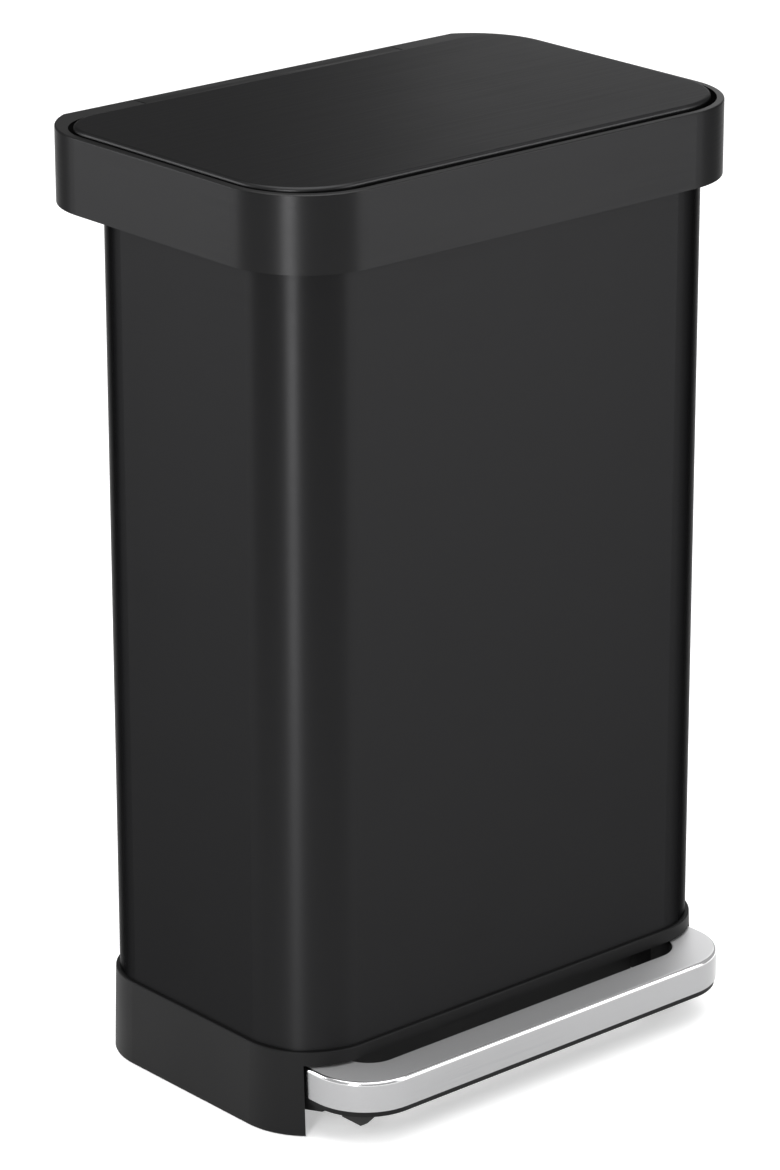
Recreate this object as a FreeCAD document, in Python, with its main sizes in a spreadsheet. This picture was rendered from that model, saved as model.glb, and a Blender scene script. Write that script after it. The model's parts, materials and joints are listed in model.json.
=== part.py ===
import FreeCAD, Part
import math
import os

import Sketcher
from FreeCAD import Vector

# Pedal trash can with a rectangular, round-cornered body.
# Millimetres. The origin is on the floor, at the centre of the rectangle that
# the can and its pedal cover. +X is to the right of somebody who faces the
# pedal, +Y points to the back, +Z points up.

DIMENSIONS = [
    # name, value, meaning
    ("total_height", 655.0, "floor to the top of the lid"),
    ("total_depth", 302.0, "front of the pedal to the back of the collar"),
    ("collar_width", 410.0, "collar, left to right"),
    ("collar_depth", 275.0, "collar, front to back"),
    ("collar_tall", 51.7, "height of the metal band round the collar"),
    ("collar_radius", 62.0, "plan radius of the collar's corners"),
    ("corner_cut", 7.0, "how far the flat back cuts into the rear corner arcs"),
    ("band_sheet", 1.2, "sheet of the collar band"),
    ("rim_width", 5.0, "width of the band's folded top lip"),
    ("rim_round", 1.1, "round on the band's top edge"),
    ("lid_proud", 2.4, "lid top above the collar rim"),
    ("body_width", 383.4, "steel body, left to right"),
    ("body_depth", 225.8, "steel body, front to back"),
    ("body_radius", 50.0, "plan radius of the body's corners"),
    ("body_setback", 14.6, "front of the collar to the front of the body"),
    ("body_sheet", 0.8, "sheet of the steel body"),
    ("body_top", 612.0, "top edge of the steel body, inside the collar"),
    ("base_top", 61.3, "top of the base's ledge"),
    ("base_ledge", 2.8, "ledge of the base outside the body"),
    ("base_draft", 1.5, "draft of the base's outer wall, in degrees"),
    ("base_inside", 1.0, "inner face of the base's skirt outside the body's outline"),
    ("deck_top", 57.0, "upper face of the base's deck"),
    ("foot_gap", 0.8, "base's lower edge above the floor"),
    ("toe_width", 358.6, "toe opening, left to right"),
    ("toe_top", 51.7, "upper edge of the toe opening"),
    ("toe_back", -84.0, "back end of the toe opening's sides"),
    ("toe_panel_y", -72.5, "front face of the dark panel behind the pedal"),
    ("toe_panel_half", 146.0, "half the width of that panel"),
    ("toe_panel_low", 4.0, "lower edge of that panel"),
    ("lid_half", 197.3, "centre plane to the lid's side"),
    ("lid_front", -112.9, "front edge of the lid"),
    ("lid_rear", 130.6, "rear edge of the lid"),
    ("lid_radius", 52.0, "plan radius of the lid's front corners"),
    ("lid_rear_radius", 36.0, "plan radius of the lid's rear corners"),
    ("lid_gap", 4.0, "gap between the lid and the rim at the back"),
    ("lid_round", 2.6, "round along the lid's top edge"),
    ("lid_sheet", 1.2, "sheet of the lid's steel skin"),
    ("lid_deep", 14.0, "height of the lid's skin"),
    ("well_floor", 637.0, "floor of the well that the lid lies in"),
    ("hinge_y", 137.0, "lid hinge axis, Y"),
    ("hinge_z", 647.0, "lid hinge axis, Z"),
    ("hinge_pin", 2.0, "radius of the lid's hinge rod"),
    ("hinge_boss", 4.0, "radius of the bosses round the hinge rod"),
    ("cover_half", 113.0, "half the width of the hinge cover"),
    ("cover_sheet", 1.5, "wall of the hinge cover"),
    ("cover_low", 640.0, "lower edge of the hinge cover's skirt"),
    ("window_low", 637.0, "lower edge of the slot behind the hinge cover"),
    ("crank", 22.0, "hinge axis to the crank pin"),
    ("crank_y", 120.15, "crank pin with the lid shut, Y"),
    ("crank_z", 632.86, "crank pin with the lid shut, Z"),
    ("rod_y", 111.5, "lift rod, Y"),
    ("rod_radius", 2.5, "radius of the lift rod"),
    ("cheek_in", 2.4, "inner face of the rod's forked ends"),
    ("cheek_out", 4.9, "outer face of the rod's forked ends"),
    ("pivot_y", -55.0, "pedal pivot, Y"),
    ("pivot_z", 28.0, "pedal pivot, Z"),
    ("axle_radius", 4.0, "radius of the pedal's axle"),
    ("running", 0.05, "radial clearance of a running fit"),
    ("lever_pin_y", 110.9, "pin at the lever's rear end, Y"),
    ("lever_pin_z", 13.87, "pin at the lever's rear end, Z"),
    ("link_pin", 2.5, "radius of the pins in the lift linkage"),
    ("link_play", 0.75, "clearance round those pins"),
    ("pedal_half", 177.5, "centre plane to the pedal's side"),
    ("pedal_inner", 146.6, "centre plane to the inside of the pedal's arms"),
    ("pedal_radius", 42.0, "plan radius of the pedal's outer corners"),
    ("pedal_inner_radius", 20.0, "plan radius of the pedal's inner corners"),
    ("pedal_bar", 28.7, "front bar of the pedal, front to back"),
    ("pedal_end", -92.0, "rear end of the pedal's steel arms"),
    ("pedal_top", 50.0, "top of the pedal"),
    ("pedal_low", 28.4, "lower edge of the pedal's steel cap"),
    ("core_line", 4.0, "how far the pedal's core shows under the steel cap"),
    ("pedal_round", 2.8, "round along the pedal's top edge"),
    ("pedal_sheet", 1.2, "sheet of the pedal's cap"),
    ("bucket_half", 184.0, "centre plane to the inner bucket's side"),
    ("bucket_front", -103.0, "front of the inner bucket"),
    ("bucket_rear", 96.0, "back of the inner bucket"),
    ("bucket_radius", 42.0, "plan radius of the bucket's corners"),
    ("bucket_wall", 1.8, "wall of the inner bucket"),
    ("screw_head", 3.2, "radius of the screw heads"),
    ("screw_shank", 1.6, "radius of the screw shanks"),
]

doc = FreeCAD.newDocument("PedalCan")
sheet = doc.addObject("Spreadsheet::Sheet", "sheet")


class Size:
    """A number together with the sheet expression that gives it."""

    def __init__(self, value, text):
        self.value = value
        self.text = text

    def joined(self, other, sign, swap=False):
        other = other if isinstance(other, Size) else Size(other, repr(float(other)))
        first, second = (other, self) if swap else (self, other)
        results = {
            "+": first.value + second.value,
            "-": first.value - second.value,
            "*": first.value * second.value,
        }
        return Size(results[sign], "(%s %s %s)" % (first.text, sign, second.text))

    def __add__(self, other):
        return self.joined(other, "+")

    def __radd__(self, other):
        return self.joined(other, "+", swap=True)

    def __sub__(self, other):
        return self.joined(other, "-")

    def __rsub__(self, other):
        return self.joined(other, "-", swap=True)

    def __mul__(self, other):
        return self.joined(other, "*")

    def __rmul__(self, other):
        return self.joined(other, "*", swap=True)

    def __neg__(self):
        return self * -1


def number(size):
    return size.value if isinstance(size, Size) else float(size)


def bind(item, path, size):
    """Bind a property to the sheet, or set it where it is a plain number."""
    item.setExpression(path, size.text if isinstance(size, Size) else repr(float(size)))


sizes = {}
for row, (name, value, meaning) in enumerate(DIMENSIONS, start=1):
    sheet.set("A%d" % row, meaning)
    sheet.set("B%d" % row, repr(value))
    sheet.setAlias("B%d" % row, name)
    sizes[name] = Size(value, "sheet." + name)
doc.recompute()


def dim(name):
    return sizes[name]


# ---------------------------------------------------------------- outlines
# An outline is a function that draws one closed loop in a sketch.

ORIGIN = (-1, 1)


def joint_ends(sketch, one, two):
    """Which ends of two neighbouring curves meet: an arc always runs anticlockwise."""
    shapes = sketch.Geometry[one], sketch.Geometry[two]
    ends = [(1, shape.StartPoint) for shape in shapes], [(2, shape.EndPoint) for shape in shapes]
    pairs = [
        (one, a, two, b)
        for a, spot in (ends[0][0], ends[1][0])
        for b, other in (ends[0][1], ends[1][1])
        if spot.distanceToPoint(other) < 0.001
    ]
    return pairs[0]


def hold(sketch, kind, geometry, point, size):
    """Fix one coordinate of a sketch point to a size."""
    index = sketch.addConstraint(Sketcher.Constraint(kind, *ORIGIN, geometry, point, number(size)))
    if isinstance(size, Size):
        sketch.setExpression("Constraints[%d]" % index, size.text)


def polygon(points):
    def draw(sketch):
        corners = [Vector(number(a), number(b), 0) for a, b in points]
        first = sketch.GeometryCount
        count = len(corners)
        for i in range(count):
            sketch.addGeometry(Part.LineSegment(corners[i], corners[(i + 1) % count]), False)
        for i in range(count):
            after = first + (i + 1) % count
            sketch.addConstraint(Sketcher.Constraint("Coincident", first + i, 2, after, 1))
        for i, (a, b) in enumerate(points):
            hold(sketch, "DistanceX", first + i, 1, a)
            hold(sketch, "DistanceY", first + i, 1, b)

    return draw


def rectangle(a0, a1, b0, b1):
    return polygon([(a0, b0), (a1, b0), (a1, b1), (a0, b1)])


def circle(a, b, radius):
    def draw(sketch):
        shape = Part.Circle(Vector(number(a), number(b), 0), Vector(0, 0, 1), number(radius))
        index = sketch.addGeometry(shape, False)
        constraint = sketch.addConstraint(Sketcher.Constraint("Radius", index, number(radius)))
        if isinstance(radius, Size):
            sketch.setExpression("Constraints[%d]" % constraint, radius.text)
        for kind, place in (("DistanceX", a), ("DistanceY", b)):
            if number(place) == 0:
                axis = -2 if kind == "DistanceX" else -1
                sketch.addConstraint(Sketcher.Constraint("PointOnObject", index, 3, axis))
            else:
                hold(sketch, kind, index, 3, place)

    return draw


def rounded(half, low, high, radius, overshoot=0.0, rear_radius=None):
    """A rectangle symmetric about the centre plane, with round corners.

    The upper corners take the rear radius where there is one. With an
    overshoot, the two upper corner arcs belong to a rectangle that is longer
    by that much, and the upper side cuts them off.
    """

    def draw(sketch):
        h, y0, y1, r = number(half), number(low), number(high), number(radius)
        q = r if rear_radius is None else number(rear_radius)
        extra = number(overshoot)
        upper = y1 + extra - q
        reach = h - q + max(q ** 2 - (y1 - upper) ** 2, 0.0) ** 0.5
        side, rear_side = h - r, h - q
        lower = y0 + r
        first = sketch.GeometryCount
        near = r * 0.5 ** 0.5
        rise = (y1 + upper) / 2 - upper
        out = (q ** 2 - rise ** 2) ** 0.5
        lines_arcs = [
            Part.LineSegment(Vector(-side, y0, 0), Vector(side, y0, 0)),
            Part.Arc(Vector(side, y0, 0), Vector(side + near, lower - near, 0), Vector(h, lower, 0)),
            Part.LineSegment(Vector(h, lower, 0), Vector(h, upper, 0)),
            Part.Arc(Vector(h, upper, 0), Vector(rear_side + out, upper + rise, 0), Vector(reach, y1, 0)),
            Part.LineSegment(Vector(reach, y1, 0), Vector(-reach, y1, 0)),
            Part.Arc(Vector(-reach, y1, 0), Vector(-rear_side - out, upper + rise, 0), Vector(-h, upper, 0)),
            Part.LineSegment(Vector(-h, upper, 0), Vector(-h, lower, 0)),
            Part.Arc(Vector(-h, lower, 0), Vector(-side - near, lower - near, 0), Vector(-side, y0, 0)),
        ]
        for shape in lines_arcs:
            sketch.addGeometry(shape, False)
        front, front_right, right, rear_right, rear, rear_left, left, front_left = range(first, first + 8)
        tangent = [
            (front, 2, front_right, 1), (front_right, 2, right, 1), (right, 2, rear_right, 1),
            (rear_left, 2, left, 1), (left, 2, front_left, 1), (front_left, 2, front, 1),
        ]
        at_rear = [(rear_right, 2, rear, 1), (rear, 2, rear_left, 1)]
        for joint in tangent:
            sketch.addConstraint(Sketcher.Constraint("Tangent", *joint))
        for joint in at_rear:
            sketch.addConstraint(Sketcher.Constraint("Coincident" if extra else "Tangent", *joint))
        sketch.addConstraint(Sketcher.Constraint("Horizontal", front))
        sketch.addConstraint(Sketcher.Constraint("Horizontal", rear))
        sketch.addConstraint(Sketcher.Constraint("Vertical", left))
        sketch.addConstraint(Sketcher.Constraint("Vertical", right))
        sketch.addConstraint(Sketcher.Constraint("Equal", front_right, front_left))
        sketch.addConstraint(Sketcher.Constraint("Equal", rear_right, rear_left))
        if rear_radius is None:
            sketch.addConstraint(Sketcher.Constraint("Equal", front_right, rear_right))
        for arc, size in ((front_right, radius), (rear_right, rear_radius)):
            if size is not None:
                index = sketch.addConstraint(Sketcher.Constraint("Radius", arc, number(size)))
                if isinstance(size, Size):
                    sketch.setExpression("Constraints[%d]" % index, size.text)
        hold(sketch, "DistanceY", front, 1, low)
        hold(sketch, "DistanceY", rear, 1, high)
        hold(sketch, "DistanceX", right, 1, half)
        hold(sketch, "DistanceX", left, 1, -half)
        if extra:
            centre = high + overshoot - radius
            hold(sketch, "DistanceY", rear_right, 3, centre)
            hold(sketch, "DistanceY", rear_left, 3, centre)

    return draw


def u_shape(half, front, radius, inner, gap, gap_radius, end):
    """A bar along X with an arm at each end that runs back to end, round at the corners."""

    def draw(sketch):
        h, y0, r, y2 = number(half), number(front), number(radius), number(end)
        g, y1, q = number(inner), number(gap), number(gap_radius)
        first = sketch.GeometryCount
        corners = [
            (-h, y2), (-h, y0 + r), (-h + r, y0), (h - r, y0), (h, y0 + r), (h, y2),
            (g, y2), (g, y1 + q), (g - q, y1), (-g + q, y1), (-g, y1 + q), (-g, y2),
        ]
        # Each arc: centre, radius and where it starts, in quarter turns.
        arcs = {
            1: (-h + r, y0 + r, r, 2), 3: (h - r, y0 + r, r, 3),
            7: (g - q, y1 + q, q, 3), 9: (-g + q, y1 + q, q, 2),
        }
        spots = [Vector(a, b, 0) for a, b in corners]
        for i in range(12):
            if i in arcs:
                a, b, size, turn = arcs[i]
                whole = Part.Circle(Vector(a, b, 0), Vector(0, 0, 1), size)
                start = turn * math.pi / 2
                sketch.addGeometry(Part.ArcOfCircle(whole, start, start + math.pi / 2), False)
            else:
                sketch.addGeometry(Part.LineSegment(spots[i], spots[(i + 1) % 12]), False)
        joints = [joint_ends(sketch, first + i, first + (i + 1) % 12) for i in range(12)]
        for i, joint in enumerate(joints):
            kind = "Tangent" if i in arcs or (i + 1) % 12 in arcs else "Coincident"
            sketch.addConstraint(Sketcher.Constraint(kind, *joint))
        for i in (2, 5, 8, 11):
            sketch.addConstraint(Sketcher.Constraint("Horizontal", first + i))
        for i in (0, 4, 6, 10):
            sketch.addConstraint(Sketcher.Constraint("Vertical", first + i))
        for arc, twin, size in ((1, 3, radius), (7, 9, gap_radius)):
            sketch.addConstraint(Sketcher.Constraint("Equal", first + arc, first + twin))
            index = sketch.addConstraint(Sketcher.Constraint("Radius", first + arc, number(size)))
            if isinstance(size, Size):
                sketch.setExpression("Constraints[%d]" % index, size.text)
        hold(sketch, "DistanceX", first, 1, -half)
        hold(sketch, "DistanceX", first + 4, 2, half)
        hold(sketch, "DistanceX", first + 6, 1, inner)
        hold(sketch, "DistanceX", first + 10, 2, -inner)
        hold(sketch, "DistanceY", first + 2, 1, front)
        hold(sketch, "DistanceY", first + 8, 1, gap)
        hold(sketch, "DistanceY", first + 5, 1, end)
        hold(sketch, "DistanceY", first + 11, 1, end)

    return draw


# ---------------------------------------------------------------- pieces

nodes = {}


class Piece:
    """One sub-part, built as a PartDesign body out of pads and pockets."""

    PLANES = {"XY": "XY_Plane", "XZ": "XZ_Plane", "YZ": "YZ_Plane"}

    def __init__(self, label):
        self.label = label
        self.body = doc.addObject("PartDesign::Body", label)
        self.body.Label = label
        self.steps = 0
        nodes[label] = self.body

    def sketch(self, plane, outlines, start):
        self.steps += 1
        sketch = self.body.newObject("Sketcher::SketchObject", "%s_sketch%d" % (self.label, self.steps))
        role = self.PLANES[plane]
        support = [item for item in self.body.Origin.OriginFeatures if item.Role == role][0]
        sketch.AttachmentSupport = [(support, "")]
        sketch.MapMode = "FlatFace"
        # The XZ plane's normal points to -Y, so its offset changes sign.
        bind(sketch, "AttachmentOffset.Base.z", -start if plane == "XZ" else start)
        for outline in outlines:
            outline(sketch)
        return sketch

    def add(self, plane, start, length, *outlines, taper=None):
        """Pad along the axis at right angles to the plane, towards its plus end."""
        sketch = self.sketch(plane, outlines, start)
        pad = self.body.newObject("PartDesign::Pad", "%s_pad%d" % (self.label, self.steps))
        pad.Profile = sketch
        pad.Reversed = plane == "XZ"
        bind(pad, "Length", length)
        if taper is not None:
            bind(pad, "TaperAngle", taper)
        self.finish(pad, grows=True)
        return self

    def cut(self, plane, start, length, *outlines):
        """Pocket along the same axis, towards its plus end."""
        sketch = self.sketch(plane, outlines, start)
        pocket = self.body.newObject("PartDesign::Pocket", "%s_pocket%d" % (self.label, self.steps))
        pocket.Profile = sketch
        pocket.Reversed = plane != "XZ"
        bind(pocket, "Length", length)
        self.finish(pocket, grows=False)
        return self

    def round_edges(self, radius, chosen):
        """Fillet the edges of the last feature that the function chosen picks."""
        self.steps += 1
        last = self.body.Tip
        names = ["Edge%d" % (i + 1) for i, edge in enumerate(last.Shape.Edges) if chosen(edge)]
        if not names:
            raise RuntimeError("%s: no edges to round" % self.label)
        fillet = self.body.newObject("PartDesign::Fillet", "%s_fillet%d" % (self.label, self.steps))
        fillet.Base = (last, names)
        bind(fillet, "Radius", radius)
        self.finish(fillet, grows=None)
        return self

    def finish(self, feature, grows):
        before = self.body.Shape.Volume if not self.body.Shape.isNull() else 0.0
        self.body.Tip = feature
        doc.recompute()
        after = self.body.Shape.Volume
        if grows is not None and (after > before) != grows:
            raise RuntimeError("%s: %s changed nothing" % (self.label, feature.Name))


def level(z):
    """Picks the edges that lie in the plane at height z."""

    def chosen(edge):
        box = edge.BoundBox
        return abs(box.ZMin - number(z)) < 0.01 and abs(box.ZMax - number(z)) < 0.01

    return chosen


def place(item, x, y, z):
    for axis, size in (("x", x), ("y", y), ("z", z)):
        bind(item, "Placement.Base." + axis, size)


ALONG = {
    "+Z": FreeCAD.Rotation(),
    "-Z": FreeCAD.Rotation(Vector(1, 0, 0), 180),
    "+X": FreeCAD.Rotation(Vector(0, 1, 0), 90),
    "-X": FreeCAD.Rotation(Vector(0, 1, 0), -90),
    "+Y": FreeCAD.Rotation(Vector(1, 0, 0), -90),
    "-Y": FreeCAD.Rotation(Vector(1, 0, 0), 90),
}
UNIT = {"X": (1, 0, 0), "Y": (0, 1, 0), "Z": (0, 0, 1)}


def cylinder(name, x, y, z, along, radius, length):
    """A cylinder that starts at a point and runs along a signed axis."""
    item = doc.addObject("Part::Cylinder", name)
    item.Placement = FreeCAD.Placement(Vector(), ALONG[along])
    bind(item, "Radius", radius)
    bind(item, "Height", length)
    place(item, x, y, z)
    return item


def box(name, x0, x1, y0, y1, z0, z1):
    item = doc.addObject("Part::Box", name)
    bind(item, "Length", x1 - x0)
    bind(item, "Width", y1 - y0)
    bind(item, "Height", z1 - z0)
    place(item, x0, y0, z0)
    return item


def fuse(name, items):
    item = doc.addObject("Part::MultiFuse", name)
    item.Shapes = items
    return item


def subtract(name, base, tool):
    item = doc.addObject("Part::Cut", name)
    item.Base = base
    item.Tool = tool
    return item


def group(label, items):
    """Identical small pieces that share one node."""
    item = doc.addObject("Part::Compound", label)
    item.Label = label
    item.Links = items
    nodes[label] = item
    return item


def single(label, item):
    item.Label = label
    nodes[label] = item
    return item


def screw(name, x, y, z, along, grip):
    """A screw whose head lies on a face at the point, and whose shank runs along."""
    sign, axis = (1 if along[0] == "+" else -1), along[1]
    back = [c * sign * -1.8 for c in UNIT[axis]]
    head = cylinder(name + "_head", x + back[0], y + back[1], z + back[2], along, dim("screw_head"), 1.8)
    shank = cylinder(name + "_shank", x, y, z, along, dim("screw_shank"), grip)
    return fuse(name, [head, shank])


# ---------------------------------------------------------------- shared places

rim_top = dim("total_height") - dim("lid_proud")
collar_low = rim_top - dim("collar_tall")
collar_rear = dim("total_depth") * 0.5
collar_front = collar_rear - dim("collar_depth")
body_front = collar_front + dim("body_setback")
body_rear = body_front + dim("body_depth")
lid_low = dim("total_height") - dim("lid_deep")
pedal_front = -collar_rear
SIDES = (("left", -1), ("right", 1))


def collar_outline(inset):
    return rounded(
        dim("collar_width") * 0.5 - inset, collar_front + inset, collar_rear - inset,
        dim("collar_radius") - inset, dim("corner_cut"),
    )


def body_outline(inset):
    return rounded(
        dim("body_width") * 0.5 - inset, body_front + inset, body_rear - inset, dim("body_radius") - inset,
    )


def lid_outline(inset):
    return rounded(
        dim("lid_half") - inset, dim("lid_front") + inset, dim("lid_rear") - inset, dim("lid_radius") - inset,
        rear_radius=dim("lid_rear_radius") - inset,
    )


def rim_openings(inset):
    """The rim's opening: level with the band in front, and close to the lid at the back."""
    half = dim("collar_width") * 0.5 - dim("rim_width") - inset
    rear = dim("lid_rear") + dim("lid_gap") - inset
    return (
        rounded(half, collar_front + dim("rim_width") + inset, rear,
                dim("collar_radius") - dim("rim_width") - inset),
        rounded(half, body_front + dim("body_radius"), rear, dim("lid_rear_radius") + 3.0 - inset),
    )


# ---------------------------------------------------------------- body and collar


def outer_shell():
    low = dim("deck_top")
    tall = dim("body_top") - low
    piece = Piece("outer_shell")
    piece.add("XY", low, tall, body_outline(0.0), body_outline(dim("body_sheet")))


def collar_band():
    """Sheet band round the collar, with its top edge folded in as a lip."""
    under_lip = rim_top - dim("band_sheet")
    half = dim("cover_half") + 1.0
    piece = Piece("collar_band")
    piece.add("XY", collar_low, dim("collar_tall"), collar_outline(0.0))
    piece.round_edges(dim("rim_round"), level(rim_top))
    for opening in rim_openings(0.0):
        piece.cut("XY", collar_low - 1.0, dim("collar_tall") + 2.0, opening)
    piece.cut("XY", collar_low - 1.0, under_lip - collar_low + 1.0, collar_outline(dim("band_sheet")))
    piece.cut("XY", dim("window_low"), 60.0, rectangle(-half, half, dim("lid_rear"), collar_rear + 5.0))


def collar_frame():
    """Moulding inside the band: outer wall, lid well, deck and a skirt in the body."""
    under_lip = rim_top - dim("band_sheet")
    low = collar_low + 1.0
    skirt_low = 596.0
    wall = dim("band_sheet") + 2.5
    inner = dim("body_sheet") + 2.2
    deck = 3.0
    clip = 2.0
    slot_top = dim("body_top")
    piece = Piece("collar_frame")
    piece.add("XY", low, under_lip - low, collar_outline(dim("band_sheet")), body_outline(inner))
    piece.add("XY", skirt_low, low - skirt_low, body_outline(dim("body_sheet")), body_outline(inner))
    for opening in rim_openings(-0.5):
        piece.cut("XY", dim("well_floor"), 30.0, opening)
    piece.cut("XY", low, dim("well_floor") - deck - low, collar_outline(wall), body_outline(-clip))
    piece.cut("XY", low, slot_top - low, body_outline(0.0), body_outline(dim("body_sheet")))
    half = dim("cover_half") + 1.0
    bay_front, bay_rear = body_rear + 4.0, collar_rear - wall
    piece.cut("XY", dim("well_floor") - deck - 1.0, 30.0, rectangle(-half, half, bay_front, bay_rear + 0.1))
    piece.cut("XY", dim("window_low") - 3.0, 60.0, rectangle(-half, half, bay_rear - 2.0, collar_rear + 5.0))
    piece.cut("XY", skirt_low - 1.0, 60.0, rectangle(-8.0, 8.0, dim("rod_y") - 6.0, bay_front + 1.0))


ARM_X = 85.0
COVER_SCREWS = (-100.0, -35.0, 35.0, 100.0)
BRACKET_SCREWS = tuple(sign * ARM_X + shift for sign in (-1, 1) for shift in (-10.0, 10.0))
BRACKET_SCREW_Z = 615.0


def hinge_housing():
    """Open box under the collar's deck that closes the hinge bay."""
    front, rear = body_rear + 2.0, collar_rear - dim("band_sheet") - 2.5
    floor, top, half = 606.0, dim("well_floor") - 3.0, dim("cover_half") + 3.3
    wall = 2.0
    piece = Piece("hinge_housing")
    piece.add("XY", floor, top - floor, rectangle(-half, half, front, rear))
    piece.cut("XY", floor + wall, 60.0, rectangle(-half + wall, half - wall, front + wall, rear - wall))
    piece.cut("XY", 630.0, 60.0, rectangle(-half + wall, half - wall, rear - wall - 1.0, rear + 1.0))
    piece.cut("XY", 611.0, 60.0, rectangle(-8.0, 8.0, front - 1.0, front + wall + 1.0))
    for x in COVER_SCREWS:
        piece.cut("XY", floor - 1.0, 4.0, circle(x, (front + rear) * 0.5, dim("screw_shank")))
    for x in BRACKET_SCREWS:
        piece.cut("XZ", front - 1.0, 4.0, circle(x, BRACKET_SCREW_Z, dim("screw_shank")))


def rear_cover():
    """Plate that closes the underside of the collar's rear overhang."""
    front, rear = body_rear + 2.3, collar_rear - dim("band_sheet") - 2.8
    half, low = 140.0, collar_low - 1.4
    piece = Piece("rear_cover")
    piece.add("XY", low, 606.0 - low, rectangle(-half, half, front, rear))
    piece.cut("XY", low + 2.0, 60.0, rectangle(-half + 2.0, half - 2.0, front + 2.0, rear - 2.0))
    middle = (body_rear + 2.0 + collar_rear - dim("band_sheet") - 2.5) * 0.5
    screws = []
    for index, x in enumerate(COVER_SCREWS):
        screws.append(screw("cover_screw%d" % index, x, middle, low, "+Z", 8.0))
        piece.cut("XY", low - 1.0, 60.0, circle(x, middle, dim("screw_shank")))
    group("rear_cover_screws", screws)


def inner_bucket():
    low, top = dim("deck_top") + 3.0, dim("well_floor") + 2.0
    half, front, rear = dim("bucket_half"), dim("bucket_front"), dim("bucket_rear")
    radius, wall, flange, inset = dim("bucket_radius"), dim("bucket_wall"), 7.5, dim("bucket_wall")
    piece = Piece("inner_bucket")
    piece.add("XY", low, top - low, rounded(half, front, rear, radius))
    piece.add("XY", top - 2.0, 2.0, rounded(half + flange, front - flange, rear + 5.0, radius + 5.0))
    piece.cut("XY", low + wall, 700.0, rounded(half - inset, front + inset, rear - inset, radius - inset))
    piece.round_edges(6.0, level(low))


# ---------------------------------------------------------------- base


def base_skirt():
    """Base moulding: a skirt with a toe opening, a deck that the body stands on, and a ledge."""
    low = dim("foot_gap")
    grow = 1.58
    edge = dim("base_ledge") + grow
    under_deck = dim("deck_top") - 3.0
    toe_half = dim("toe_width") * 0.5
    piece = Piece("base_skirt")
    piece.add("XY", low, dim("base_top") - low, body_outline(-edge), taper=-dim("base_draft"))
    piece.round_edges(1.2, level(dim("base_top")))
    piece.cut("XY", dim("deck_top"), 30.0, body_outline(0.0))
    piece.cut("XY", low - 1.0, under_deck - low + 1.0, body_outline(-dim("base_inside")))
    piece.cut("XY", low - 1.0, dim("toe_top") - low + 1.0,
              rectangle(-toe_half, toe_half, body_front - 20.0, dim("toe_back")))
    piece.cut("XY", under_deck - 1.0, 10.0, rectangle(-9.0, 9.0, dim("rod_y") - 8.0, dim("rod_y") + 3.9))


def toe_panel():
    """Dark panel between the pedal's arms, in front of its cross bar."""
    under_deck = dim("deck_top") - 3.0
    half = dim("toe_panel_half")
    piece = Piece("toe_panel")
    piece.add("XZ", dim("toe_panel_y"), 2.5, rectangle(-half, half, dim("toe_panel_low"), under_deck))


def pivot_brackets():
    under_deck = dim("deck_top") - 3.0
    for side, sign in SIDES:
        piece = Piece("pivot_bracket_" + side)
        start = 178.5 if sign > 0 else -184.5
        y, z = dim("pivot_y"), dim("pivot_z")
        piece.add("YZ", start, 6.0, polygon([
            (y - 9.0, z - 6.0), (y - 5.0, z - 10.0), (y + 5.0, z - 10.0), (y + 9.0, z - 6.0),
            (y + 12.0, under_deck), (y - 12.0, under_deck),
        ]))
        piece.cut("YZ", start - 1.0, 8.0, circle(y, z, dim("axle_radius")))


def pedal_axle():
    single("pedal_axle", cylinder("axle", -187.0, dim("pivot_y"), dim("pivot_z"), "+X", dim("axle_radius"), 374.0))
    clips = []
    for side, sign in SIDES:
        start = 184.5 if sign > 0 else -185.7
        ring = cylinder("clip_disc_" + side, start, dim("pivot_y"), dim("pivot_z"), "+X", 6.5, 1.2)
        hole = cylinder("clip_hole_" + side, start - 1.0, dim("pivot_y"), dim("pivot_z"), "+X", dim("axle_radius"), 3.2)
        clips.append(subtract("axle_clip_" + side, ring, hole))
    group("axle_clips", clips)


def rubber_feet():
    inner = dim("body_width") * 0.5 + dim("base_inside")
    feet = []
    for side, sign in SIDES:
        for index, y in enumerate((-59.0, 40.0)):
            x0, x1 = (inner - 10.0, inner) if sign > 0 else (-inner, -inner + 10.0)
            feet.append(box("foot_%s%d" % (side, index), x0, x1, Size(y, repr(y)), Size(y + 24.0, repr(y + 24.0)),
                            Size(0.0, "0.0"), Size(7.0, "7.0")))
    group("rubber_feet", feet)


# ---------------------------------------------------------------- lift linkage


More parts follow.
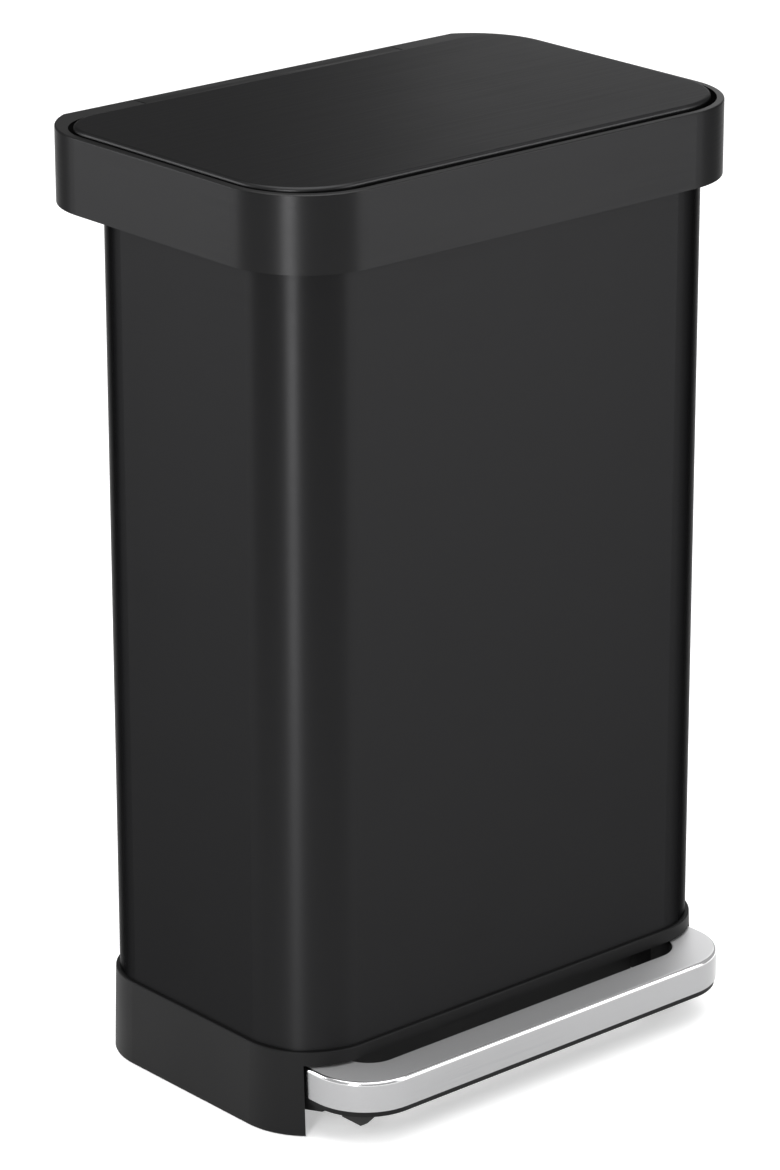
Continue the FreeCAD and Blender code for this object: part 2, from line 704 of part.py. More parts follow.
def rod_parts():
    y = dim("rod_y")
    cheek_in, cheek_out = dim("cheek_in"), dim("cheek_out")
    pin_y, pin_z = dim("crank_y"), dim("crank_z")
    single("lift_rod", cylinder("rod", 0.0, y, 30.0, "+Z", dim("rod_radius"), 576.0))

    head = Piece("rod_head")
    low, bridge, top = 606.0, 613.4, pin_z + 5.0
    head.add("YZ", -cheek_out, cheek_out * 2, polygon([
        (y - 3.0, low), (y + 2.9, low), (y + 2.9, bridge + 0.6), (pin_y + 5.0, bridge + 2.4),
        (pin_y + 5.0, top), (y - 3.0, top),
    ]))
    head.cut("YZ", -cheek_in, cheek_in * 2, rectangle(y - 4.0, pin_y + 6.0, bridge, top + 1.0))
    slot = dim("link_pin") + dim("link_play")
    mid_y = dim("hinge_y") - dim("crank")
    head.cut("YZ", -10.0, 20.0, rectangle(mid_y - slot, pin_y + slot, pin_z - slot, pin_z + slot))

    foot = Piece("rod_fork")
    foot_z = dim("lever_pin_z")
    foot.add("YZ", -cheek_out, cheek_out * 2, rectangle(y - 5.5, y + 3.4, foot_z - 6.0, 30.0))
    foot.cut("YZ", -cheek_in, cheek_in * 2, rectangle(y - 7.0, y + 5.0, foot_z - 7.0, 24.0))
    foot.cut("YZ", -10.0, 20.0, circle(dim("lever_pin_y"), foot_z, dim("link_pin")))
    single("fork_pin", cylinder("fork_pin", -6.5, dim("lever_pin_y"), foot_z, "+X", dim("link_pin"), 13.0))


DAMPER_X = 34.0
DAMPER_LOW = 160.0


def damper():
    y = dim("rod_y") - 4.0
    clamp = Piece("rod_clamp")
    clamp.add("XY", 104.0, 10.0, rectangle(-6.0, DAMPER_X + 5.0, y - 3.0, y + 7.6))
    clamp.cut("XY", 103.0, 12.0, circle(0.0, dim("rod_y"), dim("rod_radius")))
    clamp.cut("XY", 103.0, 12.0, circle(DAMPER_X, y, 2.4))
    piston = cylinder("piston", DAMPER_X, y, DAMPER_LOW + 14.0, "+Z", 5.0, 6.0)
    stem = cylinder("stem", DAMPER_X, y, 104.0, "+Z", 2.4, DAMPER_LOW - 88.0)
    single("damper_rod", fuse("damper_rod", [stem, piston]))

    tube = cylinder("damper_tube", DAMPER_X, y, DAMPER_LOW, "+Z", 7.0, 90.0)
    bore = cylinder("damper_bore", DAMPER_X, y, DAMPER_LOW + 5.0, "+Z", 5.3, 80.0)
    mouth = cylinder("damper_mouth", DAMPER_X, y, DAMPER_LOW - 1.0, "+Z", 2.7, 10.0)
    single("damper_cylinder", subtract("damper_cylinder", tube, fuse("damper_hollow", [bore, mouth])))
    clips = []
    for index, z in enumerate((DAMPER_LOW + 8.0, DAMPER_LOW + 72.0)):
        body = box("clip_block%d" % index, Size(DAMPER_X - 10.0, "24.0"), Size(DAMPER_X + 10.0, "44.0"),
                   y, body_rear - dim("body_sheet"), Size(z, repr(z)), Size(z + 10.0, repr(z + 10.0)))
        seat = cylinder("clip_seat%d" % index, DAMPER_X, y, z - 1.0, "+Z", 7.0, 12.0)
        clips.append(subtract("damper_clip%d" % index, body, seat))
    group("damper_clips", clips)


def rod_guides():
    guides = []
    y = dim("rod_y")
    for index, z in enumerate((84.0, 330.0, 560.0)):
        body = box("guide_block%d" % index, Size(-11.0, "-11.0"), Size(11.0, "11.0"), y - 6.0,
                   body_rear - dim("body_sheet"), Size(z, repr(z)), Size(z + 9.0, repr(z + 9.0)))
        hole = cylinder("guide_hole%d" % index, 0.0, y, z - 1.0, "+Z", dim("rod_radius") + 0.4, 11.0)
        guides.append(subtract("rod_guide%d" % index, body, hole))
    group("rod_guides", guides)


def rod_cover():
    """Channel on the body's back wall that keeps bags away from the rod and the damper."""
    back = body_rear - dim("body_sheet")
    front = dim("bucket_rear") + 1.2
    wall = 1.5
    piece = Piece("rod_cover")
    piece.add("XY", dim("deck_top"), 535.0, rectangle(-20.0, 56.0, front, back))
    piece.cut("XY", dim("deck_top") - 1.0, 560.0, rectangle(-20.0 + wall, 56.0 - wall, front + wall, back + 1.0))


# ---------------------------------------------------------------- lid


def lid_skin():
    piece = Piece("lid_skin")
    piece.add("XY", lid_low, dim("lid_deep"), lid_outline(0.0))
    piece.round_edges(dim("lid_round"), level(dim("total_height")))
    piece.cut("XY", lid_low - 1.0, dim("lid_deep") - dim("lid_sheet") + 1.0, lid_outline(dim("lid_sheet")))


def lid_liner():
    low = lid_low - 1.0
    top = dim("total_height") - dim("lid_sheet")
    inset = dim("lid_sheet")
    piece = Piece("lid_liner")
    piece.add("XY", low, top - low, lid_outline(inset))
    piece.cut("XY", low + 2.4, 30.0, lid_outline(inset + 2.4))
    piece.cut("XY", low - 1.0, 1.8, lid_outline(22.0), lid_outline(30.0))
    piece.cut("XY", low - 1.0, 5.5, rectangle(-8.0, 8.0, dim("rod_y") + 0.5, dim("lid_rear")))


def lid_bumpers():
    pads = []
    for side, sign in SIDES:
        for index, y in enumerate((-60.0, 70.0)):
            pads.append(cylinder("bumper_%s%d" % (side, index), 193.9 * sign, y, dim("well_floor") + 0.3,
                                 "+Z", 2.0, lid_low - 1.3 - dim("well_floor")))
    group("lid_bumpers", pads)


def hinge_cover():
    half = dim("cover_half")
    sheet_size = dim("cover_sheet")
    front = dim("lid_rear")
    piece = Piece("hinge_cover")
    piece.add("YZ", -half, half * 2, polygon([
        (front, rim_top - sheet_size), (collar_rear - sheet_size, rim_top - sheet_size),
        (collar_rear - sheet_size, dim("cover_low")), (collar_rear, dim("cover_low")),
        (collar_rear, rim_top), (front, rim_top),
    ]))

    def rear_top(edge):
        box_ = edge.BoundBox
        return abs(box_.YMin - number(collar_rear)) < 0.01 and level(rim_top)(edge) and edge.Length > 50

    piece.round_edges(dim("rim_round"), rear_top)


def hinge_arms():
    """Cranked arms that reach from under the lid, round its rear edge, up to the hinge rod."""
    y, z = dim("hinge_y"), dim("hinge_z")
    under = lid_low - 1.0
    thick = 2.4
    behind = dim("lid_rear") + 0.7
    for side, sign in SIDES:
        piece = Piece("hinge_arm_" + side)
        centre = ARM_X * sign
        piece.add("YZ", centre - 3.0, 6.0, circle(y, z, dim("hinge_boss")))
        piece.add("YZ", centre - 3.0, 6.0, polygon([
            (y - 33.0, under - thick), (y - 16.0, under - thick), (y - 13.5, under - 4.5), (y - 6.0, under - 4.5),
            (y + 3.2, z - 2.4), (y - 3.9, z + 0.5), (behind, z - 1.5), (behind, under), (y - 33.0, under),
        ]))
        piece.add("XY", under - thick, thick, rectangle(centre - 12.0, centre + 12.0, y - 33.0, y - 19.0))
        piece.cut("YZ", centre - 10.0, 20.0, circle(y, z, dim("hinge_pin")))


def hinge_brackets():
    """Brackets screwed to the housing, with ears that pass under the lid to the hinge rod."""
    y, z = dim("hinge_y"), dim("hinge_z")
    front = body_rear + 4.0
    under = lid_low - 1.6
    hole = dim("hinge_pin") + 0.9
    screws = []
    bushes = []
    for side, sign in SIDES:
        centre = ARM_X * sign
        piece = Piece("hinge_bracket_" + side)
        piece.add("XZ", front, 2.5, rectangle(centre - 14.0, centre + 14.0, 609.0, under - 5.0))
        for name, inner in (("a", -6.0), ("b", 3.5)):
            start = centre + inner
            piece.add("YZ", start, 2.5, circle(y, z, dim("hinge_boss")))
            piece.add("YZ", start, 2.5, polygon([
                (front, z - 18.0), (front + 4.0, z - 18.0), (y - 5.5, z - 9.6), (y + 3.2, z - 2.3),
                (y - 3.9, z + 0.5), (y - 5.6, z - 3.0), (y - 5.6, under), (front, under),
            ]))
            piece.cut("YZ", start - 0.2, 2.9, circle(y, z, hole))
            ring = cylinder("bush_disc_%s_%s" % (side, name), start, y, z, "+X", hole, 2.5)
            bore = cylinder("bush_bore_%s_%s" % (side, name), start - 1.0, y, z, "+X",
                            dim("hinge_pin") + dim("running"), 4.5)
            bushes.append(subtract("bush_%s_%s" % (side, name), ring, bore))
        for index, x in enumerate(x for x in BRACKET_SCREWS if x * sign > 0):
            name = "bracket_screw_%s%d" % (side, index)
            screws.append(screw(name, x, front + 2.5, BRACKET_SCREW_Z, "-Y", 4.4))
            piece.cut("XZ", front - 1.0, 5.0, circle(x, BRACKET_SCREW_Z, dim("screw_shank")))
    group("hinge_bushes", bushes)
    group("bracket_screws", screws)


def hinge_rod():
    y, z = dim("hinge_y"), dim("hinge_z")
    half = ARM_X + 9.0
    single("hinge_rod", cylinder("hinge_rod", -half, y, z, "+X", dim("hinge_pin"), 2 * half))
    clips = []
    for side, sign in SIDES:
        start = half - 1.8 if sign > 0 else -half + 0.6
        ring = cylinder("rod_clip_disc_" + side, start, y, z, "+X", 3.9, 1.2)
        hole = cylinder("rod_clip_hole_" + side, start - 1.0, y, z, "+X", dim("hinge_pin"), 3.2)
        clips.append(subtract("rod_clip_" + side, ring, hole))
    group("hinge_clips", clips)


def lift_crank():
    y, z = dim("hinge_y"), dim("hinge_z")
    pin_y, pin_z = dim("crank_y"), dim("crank_z")
    piece = Piece("lift_crank")
    piece.add("YZ", -2.0, 4.0, circle(y, z, dim("hinge_boss")))
    piece.add("YZ", -2.0, 4.0, circle(pin_y, pin_z, 5.0))
    piece.add("YZ", -2.0, 4.0, polygon([
        (y + 3.6, z - 1.7), (y + 2.0, z - 11.0), (y - 3.0, z - 16.5), (pin_y + 1.0, pin_z - 4.8),
        (pin_y - 0.6, pin_z + 4.8), (y - 6.5, z - 8.6), (y - 5.4, z - 6.0), (y - 3.9, z + 0.5),
    ]))
    piece.cut("YZ", -5.0, 10.0, circle(y, z, dim("hinge_pin")))
    piece.cut("YZ", -5.0, 10.0, circle(pin_y, pin_z, dim("link_pin")))
    single("crank_pin", cylinder("crank_pin", -6.5, pin_y, pin_z, "+X", dim("link_pin"), 13.0))


# ---------------------------------------------------------------- pedal


pedal_gap = pedal_front + dim("pedal_bar")
core_low = dim("pedal_low") - dim("core_line")


def pedal_outline(inset, end):
    return u_shape(
        dim("pedal_half") - inset, pedal_front + inset, dim("pedal_radius") - inset,
        dim("pedal_inner") + inset, pedal_gap - inset, dim("pedal_inner_radius") + inset, end,
    )


def pedal_cap():
    """Steel cap over the pedal's front bar and arms, open below and at the arms' ends."""
    low, top = dim("pedal_low"), dim("pedal_top")
    piece = Piece("pedal_cap")
    piece.add("XY", low, top - low, pedal_outline(0.0, dim("pedal_end")))
    at_end = number(dim("pedal_end"))
    piece.round_edges(dim("pedal_round"), lambda edge: level(top)(edge) and edge.BoundBox.YMin < at_end - 0.1)
    piece.cut("XY", low - 1.0, top - dim("pedal_sheet") - low + 1.0,
              pedal_outline(dim("pedal_sheet"), dim("pedal_end") + 5.0))


def pedal_core():
    """Moulding that fills the cap and shows as a thin line under it."""
    top = dim("pedal_top") - dim("pedal_sheet")
    wall = 5.0
    piece = Piece("pedal_core")
    piece.add("XY", core_low, top - core_low, pedal_outline(dim("pedal_sheet"), dim("pedal_end")))
    piece.cut("XY", core_low - 1.0, 16.0, rectangle(-112.0, 112.0, pedal_front + wall, pedal_gap - wall))


def pedal_feet():
    for side, sign in SIDES:
        piece = Piece("pedal_foot_" + side)
        piece.add("XZ", -130.0, 19.0, polygon([
            (158.0 * sign, core_low), (158.0 * sign, 13.0), (152.0 * sign, 13.0), (124.0 * sign, core_low),
        ]))


def pedal_yoke():
    """Arms that carry the pedal back to its pivot, and the bar that joins them."""
    y, z = dim("pivot_y"), dim("pivot_z")
    inner, outer = 149.5, 174.5
    end = dim("pedal_end")
    piece = Piece("pedal_yoke")
    piece.add("YZ", -outer, outer * 2, polygon([
        (y - 11.0, z - 8.0), (y + 11.0, z - 9.0), (y + 11.0, z + 9.0), (y - 11.0, z + 9.0),
    ]))
    for side, sign in SIDES:
        start = inner if sign > 0 else -outer
        piece.add("YZ", start, outer - inner, polygon([
            (end, z + 18.8), (y - 15.0, z + 18.0), (y + 11.0, z + 10.0), (y + 11.0, z - 10.0),
            (y - 20.0, z - 13.0), (end - 1.0, z - 11.0), (end - 18.0, core_low - 3.0), (end - 18.0, core_low),
            (end, core_low),
        ]))
        piece.add("YZ", outer - 0.5 if sign > 0 else -outer - 3.7, 4.2, circle(y, z, 9.0))
    piece.cut("XY", z - 20.0, 22.0, rectangle(-inner + 3.0, -16.0, y - 8.0, y + 8.0))
    piece.cut("XY", z - 20.0, 22.0, rectangle(16.0, inner - 3.0, y - 8.0, y + 8.0))
    piece.cut("YZ", -190.0, 380.0, circle(y, z, dim("axle_radius") + dim("running")))
    for x in LEVER_SCREWS:
        piece.cut("XZ", y, 20.0, circle(x, LEVER_SCREW_Z, dim("screw_shank")))


LEVER_SCREWS = (-9.0, 9.0)
LEVER_SCREW_Z = 34.0


def lift_lever():
    """Steel lever from the pedal's cross bar to the foot of the lift rod."""
    y, z = dim("pivot_y"), dim("pivot_z")
    pin_y, pin_z = dim("lever_pin_y"), dim("lever_pin_z")
    start = y + 11.0
    piece = Piece("lift_lever")
    piece.add("XZ", start, 2.5, rectangle(-14.0, 14.0, z - 9.0, z + 9.0))
    piece.add("YZ", -2.0, 4.0, polygon([
        (start, z - 9.0), (pin_y - 1.0, pin_z - 4.6), (pin_y - 1.0, pin_z + 4.6), (start + 30.0, z + 4.0),
        (start, z + 9.0),
    ]))
    piece.add("YZ", -2.0, 4.0, circle(pin_y, pin_z, 4.7))
    piece.cut("YZ", -5.0, 10.0, circle(pin_y, pin_z, dim("link_pin") + dim("link_play")))
    screws = []
    for index, x in enumerate(LEVER_SCREWS):
        screws.append(screw("lever_screw%d" % index, x, start + 2.5, LEVER_SCREW_Z, "-Y", 8.0))
        piece.cut("XZ", start - 1.0, 5.0, circle(x, LEVER_SCREW_Z, dim("screw_shank")))
    group("lever_screws", screws)


# ---------------------------------------------------------------- build and write


def build():
    outer_shell()
    collar_band()
    collar_frame()
    hinge_housing()
    rear_cover()
    inner_bucket()
    base_skirt()
    toe_panel()
    pivot_brackets()
    pedal_axle()
    rubber_feet()
    rod_parts()
    damper()
    rod_guides()
    rod_cover()
    lid_skin()
    lid_liner()
    lid_bumpers()
    hinge_cover()
    hinge_arms()
    hinge_brackets()
    hinge_rod()
    lift_crank()
    pedal_cap()
    pedal_core()
    pedal_feet()
    pedal_yoke()
    lift_lever()


def write():
    doc.recompute()
    faults = []
    for item in doc.Objects:
        if "Invalid" in item.State or "Error" in item.State:
            faults.append("%s is %s" % (item.Name, item.State))
    for label, item in nodes.items():
        shape = item.Shape
        if shape.isNull() or not shape.isValid() or not shape.Solids:
            faults.append("%s has no valid solid" % label)
    if faults:
        raise RuntimeError("; ".join(faults))
    os.makedirs("parts", exist_ok=True)
    for label, item in nodes.items():
        item.Shape.exportStep("parts/%s.step" % label)
        box_ = item.Shape.BoundBox
        print("%-20s solids %2d  volume %9.0f  x %7.1f %7.1f  y %7.1f %7.1f  z %6.1f %6.1f" % (
            label, len(item.Shape.Solids), item.Shape.Volume,
            box_.XMin, box_.XMax, box_.YMin, box_.YMax, box_.ZMin, box_.ZMax))


build()
write()
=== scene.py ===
"""Looks of the pedal can: finishes, floor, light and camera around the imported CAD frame."""

import json
import math

import bmesh
import bpy
from mathutils import Matrix, Vector


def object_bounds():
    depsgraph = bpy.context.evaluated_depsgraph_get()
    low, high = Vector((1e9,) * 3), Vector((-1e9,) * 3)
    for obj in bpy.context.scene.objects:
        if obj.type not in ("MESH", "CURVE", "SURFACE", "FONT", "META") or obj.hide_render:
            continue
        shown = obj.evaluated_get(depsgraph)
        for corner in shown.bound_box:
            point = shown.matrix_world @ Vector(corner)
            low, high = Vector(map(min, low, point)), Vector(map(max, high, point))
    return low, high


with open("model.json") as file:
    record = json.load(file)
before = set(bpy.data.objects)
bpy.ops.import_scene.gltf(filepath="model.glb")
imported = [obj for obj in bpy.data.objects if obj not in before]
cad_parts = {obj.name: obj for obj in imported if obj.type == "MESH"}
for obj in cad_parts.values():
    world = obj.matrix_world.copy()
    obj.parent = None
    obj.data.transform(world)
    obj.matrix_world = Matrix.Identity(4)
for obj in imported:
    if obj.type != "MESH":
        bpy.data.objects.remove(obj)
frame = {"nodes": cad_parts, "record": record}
cad_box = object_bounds()
nodes = frame["nodes"]


# ---------------------------------------------------------------- materials

EVEN = (1.0, 1.0, 1.0)
# Where a face stops being upright, where a rounded edge begins, and where it turns level.
EDGE_BEGINS, EDGE_FULL = 0.04, 0.12
LEVEL_BEGINS, LEVEL_FULL = 0.93, 0.99


class Finish:
    """A procedural material, built up one layer at a time on a Principled shader."""

    def __init__(self, name, base, metallic, roughness, **fixed):
        self.material = bpy.data.materials.new(name)
        self.material.use_nodes = True
        self.tree = self.material.node_tree
        self.shader = self.tree.nodes["Principled BSDF"]
        self.shader.inputs["Metallic"].default_value = metallic
        for socket, value in fixed.items():
            self.shader.inputs[socket.replace("_", " ")].default_value = value
        self.base = base
        self.roughness = roughness
        self.place = self.tree.nodes.new("ShaderNodeTexCoord").outputs["Object"]
        self.shader.inputs["Base Color"].default_value = (*base, 1.0)
        self.shader.inputs["Roughness"].default_value = roughness
        self.material.diffuse_color = (*base, 1.0)

    def noise(self, scale, stretch=EVEN, detail=2.0, rough=0.55):
        """Noise with scale features a metre, stretched along the axes by less than one."""
        mapping = self.tree.nodes.new("ShaderNodeMapping")
        mapping.inputs["Scale"].default_value = stretch
        noise = self.tree.nodes.new("ShaderNodeTexNoise")
        noise.inputs["Scale"].default_value = scale
        noise.inputs["Detail"].default_value = detail
        noise.inputs["Roughness"].default_value = rough
        self.tree.links.new(self.place, mapping.inputs["Vector"])
        self.tree.links.new(mapping.outputs["Vector"], noise.inputs["Vector"])
        return noise.outputs["Fac"]

    def spread(self, factor, low, high, start=0.3, end=0.7):
        node = self.tree.nodes.new("ShaderNodeMapRange")
        for socket, value in (("From Min", start), ("From Max", end), ("To Min", low), ("To Max", high)):
            node.inputs[socket].default_value = value
        self.tree.links.new(factor, node.inputs["Value"])
        return node.outputs["Result"]

    def both(self, one, two, operation="MULTIPLY"):
        node = self.tree.nodes.new("ShaderNodeMath")
        node.operation = operation
        self.tree.links.new(one, node.inputs[0])
        self.tree.links.new(two, node.inputs[1])
        return node.outputs[0]

    def colour(self, factor, share):
        """The base colour, lighter and darker by share where factor says."""
        ramp = self.tree.nodes.new("ShaderNodeMix")
        ramp.data_type = "RGBA"
        ramp.inputs["A"].default_value = (*(c * (1.0 - share) for c in self.base), 1.0)
        ramp.inputs["B"].default_value = (*(c * (1.0 + share) for c in self.base), 1.0)
        self.tree.links.new(factor, ramp.inputs["Factor"])
        self.tree.links.new(ramp.outputs["Result"], self.shader.inputs["Base Color"])
        return self

    def rough(self, factor, change):
        result = self.spread(factor, self.roughness - change, self.roughness + change)
        self.tree.links.new(result, self.shader.inputs["Roughness"])
        return self

    def bump(self, height, strength, distance):
        node = self.tree.nodes.new("ShaderNodeBump")
        node.inputs["Strength"].default_value = strength
        node.inputs["Distance"].default_value = distance
        self.tree.links.new(height, node.inputs["Height"])
        self.tree.links.new(node.outputs["Normal"], self.shader.inputs["Normal"])
        return self

    def up(self):
        """The surface normal's share along Z: 0 on upright faces and 1 on level ones."""
        normal = self.tree.nodes.new("ShaderNodeTexCoord").outputs["Normal"]
        split = self.tree.nodes.new("ShaderNodeSeparateXYZ")
        self.tree.links.new(normal, split.inputs["Vector"])
        return split.outputs["Z"]

    def painted_top_light(self, painted_top_tone, start, end):
        """Painted highlight: another base colour on faces that look up, standing in for the light falling
        on them, mixed in as they tilt from start to end.
        """
        mix = self.tree.nodes.new("ShaderNodeMix")
        mix.data_type = "RGBA"
        mix.inputs["B"].default_value = (painted_top_tone, painted_top_tone, painted_top_tone * 1.01, 1.0)
        was = self.shader.inputs["Base Color"].links[0].from_socket
        self.tree.links.new(self.spread(self.up(), 0.0, 1.0, start, end), mix.inputs["Factor"])
        self.tree.links.new(was, mix.inputs["A"])
        self.tree.links.new(mix.outputs["Result"], self.shader.inputs["Base Color"])
        return self

    def rough_by_slope(self, flat, edge):
        """Level faces are flat rough, the rounded edge is polished, and upright faces stay as they are."""
        up = self.up()
        was = self.shader.inputs["Roughness"].links[0].from_socket
        on_edge = self.spread(up, 0.0, 1.0, EDGE_BEGINS, EDGE_FULL)
        on_top = self.spread(up, 0.0, 1.0, LEVEL_BEGINS, LEVEL_FULL)
        for share, value in ((on_edge, edge), (on_top, flat)):
            mix = self.tree.nodes.new("ShaderNodeMix")
            mix.inputs["B"].default_value = value
            self.tree.links.new(share, mix.inputs["Factor"])
            self.tree.links.new(was, mix.inputs["A"])
            was = mix.outputs["Result"]
        self.tree.links.new(was, self.shader.inputs["Roughness"])
        return self

    def grain(self, along):
        """Tangent for a brushed finish, running round the axis along."""
        node = self.tree.nodes.new("ShaderNodeTangent")
        node.direction_type = "RADIAL"
        node.axis = along
        self.tree.links.new(node.outputs["Tangent"], self.shader.inputs["Tangent"])
        return self


# Features a metre, and depths in metres.
LINES_A_METRE, SHEEN_A_METRE, LINE_DEPTH = 1700.0, 9.0, 0.00004
UNEVEN_A_METRE, GRAIN_DEPTH = 14.0, 0.00012
MOTTLE_A_METRE, MOTTLE_DEPTH = 260.0, 0.00003


def brushed(name, base, roughness, stretch, metallic=1.0, share=0.10, strength=0.10, **fixed):
    """Sheet steel with fine brush lines, and slow changes of sheen across the sheet."""
    finish = Finish(name, base, metallic, roughness, **fixed)
    lines = finish.noise(LINES_A_METRE, stretch, 3.0, 0.6)
    clouds = finish.noise(SHEEN_A_METRE, EVEN, 3.0, 0.5)
    finish.colour(finish.both(lines, clouds, "ADD"), share)
    finish.rough(finish.both(lines, finish.spread(clouds, 0.85, 1.15)), 0.045)
    finish.bump(lines, strength, LINE_DEPTH)
    return finish


def moulded(name, base, roughness, grain=900.0, strength=0.22, share=0.12, **fixed):
    """Moulded plastic: spark-eroded grain, and a little unevenness in its sheen."""
    fixed.setdefault("Specular_IOR_Level", 0.22)
    finish = Finish(name, base, 0.0, roughness, **fixed)
    pits = finish.noise(grain, EVEN, 3.0, 0.65)
    clouds = finish.noise(UNEVEN_A_METRE, EVEN, 3.0, 0.5)
    finish.colour(finish.spread(clouds, 0.0, 1.0), share)
    finish.rough(clouds, 0.05)
    finish.bump(pits, strength, GRAIN_DEPTH)
    return finish


def plated(name, base, roughness, share=0.12):
    """Plated steel, with the faint mottling of zinc or ground bar."""
    finish = Finish(name, base, 1.0, roughness)
    mottle = finish.noise(MOTTLE_A_METRE, EVEN, 4.0, 0.6)
    finish.colour(finish.spread(mottle, 0.0, 1.0), share)
    finish.rough(mottle, 0.06)
    finish.bump(mottle, 0.08, MOTTLE_DEPTH)
    return finish


# How the brush lines are stretched: in level rings round the can, or along X.
RINGS = (0.006, 0.006, 1.0)
LONG = (0.006, 1.0, 1.0)
PEDAL_LINES = (0.008, 1.0, 1.0)
# The quarter turn spreads highlights up and down the upright sheets.
UPRIGHT = {"Anisotropic": 0.75, "Anisotropic_Rotation": 0.25}

body = brushed("black_steel_body", (0.0155, 0.0155, 0.0159), 0.39, RINGS,
               Specular_Tint=(0.40, 0.40, 0.40, 1.0), **UPRIGHT).grain("Z")
collar = brushed("black_steel_collar", (0.0190, 0.0190, 0.0194), 0.39, RINGS,
                 Specular_Tint=(0.50, 0.50, 0.50, 1.0), **UPRIGHT).grain("Z")
# Painted highlight: the collar's rim top and rounded edges get a lighter base colour for the light they
# catch.
collar.painted_top_light(0.055, 0.25, 0.8)
lid = brushed("black_steel_lid", (0.042, 0.042, 0.043), 0.36, LONG, share=0.025, strength=0.015,
              Specular_Tint=(0.42, 0.42, 0.42, 1.0))
pedal = brushed("stainless_pedal", (0.30, 0.30, 0.304), 0.22, PEDAL_LINES, share=0.16, strength=0.25)
pedal.rough_by_slope(0.55, 0.14)
# Painted highlight: the pedal's top faces get a much lighter base colour for the light they catch.
pedal.painted_top_light(0.78, 0.06, 0.3)
base = moulded("base_black", (0.006, 0.006, 0.0062), 0.52, Specular_IOR_Level=0.12)
inside = moulded("recess_black", (0.006, 0.006, 0.006), 0.75)
black = moulded("black_moulding", (0.011, 0.011, 0.011), 0.50)
liner = moulded("lid_liner_grey", (0.03, 0.03, 0.031), 0.48)
bucket = moulded("bucket_grey", (0.10, 0.10, 0.105), 0.42, share=0.08)
acetal = moulded("acetal_white", (0.72, 0.72, 0.69), 0.38, strength=0.08, share=0.05)
rubber = moulded("foot_rubber", (0.025, 0.025, 0.025), 0.85, grain=500.0, strength=0.4)
zinc = plated("zinc_plate", (0.55, 0.55, 0.56), 0.34)
chrome = plated("ground_rod", (0.72, 0.72, 0.73), 0.14, share=0.05)
tube = plated("damper_tube_black", (0.04, 0.04, 0.043), 0.35)
fixings = plated("screw_plate", (0.48, 0.48, 0.50), 0.30)

FINISHES = {
    "body_steel": body, "collar_steel": collar, "lid_steel": lid, "pedal_steel": pedal,
    "black_plastic": black, "base_plastic": base, "lid_plastic": liner, "bucket_plastic": bucket,
    "white_plastic": acetal, "rubber": rubber, "zinc_steel": zinc, "damper_steel": chrome,
    "damper_body": tube, "screws": fixings,
}
OTHER = {"toe_panel": inside, "hinge_cover": collar}

slot_of = {part["node"]: part["material_slot"] for part in frame["record"]["subparts"]}
for name, item in nodes.items():
    finish = OTHER.get(name) or FINISHES[slot_of[name]]
    item.data.materials.clear()
    item.data.materials.append(finish.material)


# ---------------------------------------------------------------- floor, light and camera


def plate(name, half, centre):
    mesh = bpy.data.meshes.new(name)
    shape = bmesh.new()
    bmesh.ops.create_grid(shape, x_segments=1, y_segments=1, size=half)
    shape.to_mesh(mesh)
    shape.free()
    item = bpy.data.objects.new(name, mesh)
    item.location = centre
    bpy.context.scene.collection.objects.link(item)
    return item


FLOOR_HALF = 30.0
FLOOR_GLOW = 0.40

floor = plate("floor", FLOOR_HALF, (0.0, 0.0, cad_box[0][2]))
paper = Finish("pale_paper", (0.86, 0.86, 0.86), 0.0, 0.85)
paper.colour(paper.noise(3.0), 0.01)
paper.shader.inputs["Emission Color"].default_value = (1.0, 1.0, 1.0, 1.0)
paper.shader.inputs["Emission Strength"].default_value = FLOOR_GLOW
floor.data.materials.append(paper.material)

MIDDLE = Vector((0.0, 0.0, 0.32))


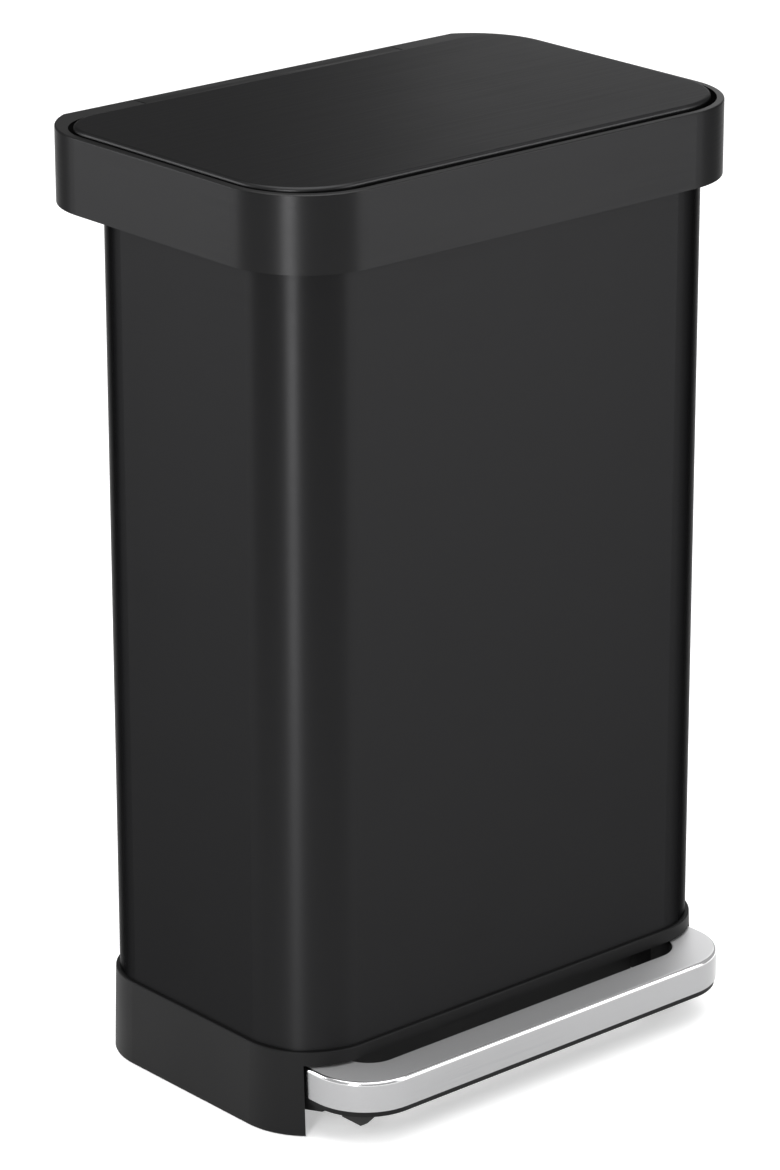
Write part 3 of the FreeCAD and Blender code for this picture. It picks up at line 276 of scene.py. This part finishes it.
def softbox(name, azimuth, elevation, distance, width, height, power):
    """A rectangular lamp that points at the can. Azimuth 0 is in front, and 90 on the left."""
    turn, rise = math.radians(azimuth), math.radians(elevation)
    away = Vector((-math.sin(turn) * math.cos(rise), -math.cos(turn) * math.cos(rise), math.sin(rise)))
    data = bpy.data.lights.new(name, "AREA")
    data.shape = "RECTANGLE"
    data.size, data.size_y = width, height
    data.energy = power
    item = bpy.data.objects.new(name, data)
    item.visible_camera = False
    item.location = MIDDLE + away * distance
    item.rotation_euler = away.to_track_quat("Z", "Y").to_euler()
    bpy.context.scene.collection.objects.link(item)


# name, azimuth, elevation, distance, width, height, power
SOFTBOXES = (
    ("front_box", -34.0, 14.0, 1.8, 1.1, 1.2, 13.0),
    ("left_strip", 60.0, 6.0, 1.2, 0.22, 1.1, 8.0),
    ("rear_left_box", 133.0, 14.0, 1.8, 0.9, 1.2, 12.5),
    ("rear_right_box", 236.0, 22.0, 2.4, 1.2, 0.8, 4.0),
    ("top_box", 0.0, 88.0, 2.6, 3.0, 3.0, 20.0),
)
for lamp in SOFTBOXES:
    softbox(*lamp)
SUN_SPREAD, SUN_TILT = math.radians(70.0), math.radians(8.0)
overhead = bpy.data.lights.new("overhead", "SUN")
overhead.energy = 1.4
overhead.angle = SUN_SPREAD
overhead_item = bpy.data.objects.new("overhead", overhead)
overhead_item.rotation_euler = (SUN_TILT, 0.0, 0.0)
bpy.context.scene.collection.objects.link(overhead_item)

world = bpy.data.worlds.new("studio")
world.use_nodes = True
world.node_tree.nodes["Background"].inputs["Color"].default_value = (1.0, 1.0, 1.0, 1.0)
world.node_tree.nodes["Background"].inputs["Strength"].default_value = 0.45
scene = bpy.context.scene
scene.world = world
scene.view_settings.view_transform = "Standard"
scene.view_settings.look = "None"

CAMERA_AT = (-2.0590, -2.3314, 1.4507)
AZIMUTH, ELEVATION, ROLL = math.radians(-41.248), math.radians(19.910), math.radians(-0.045)
lens = bpy.data.cameras.new("camera")
lens.lens = 149.27
lens.sensor_width = 36.0
lens.shift_x, lens.shift_y = -0.0030, -0.0022
lens.clip_end = 60.0
camera = bpy.data.objects.new("camera", lens)
camera.matrix_world = (
    Matrix.Translation(CAMERA_AT) @ Matrix.Rotation(AZIMUTH, 4, "Z")
    @ Matrix.Rotation(math.pi * 0.5 - ELEVATION, 4, "X") @ Matrix.Rotation(ROLL, 4, "Z")
)
scene.collection.objects.link(camera)
scene.camera = camera
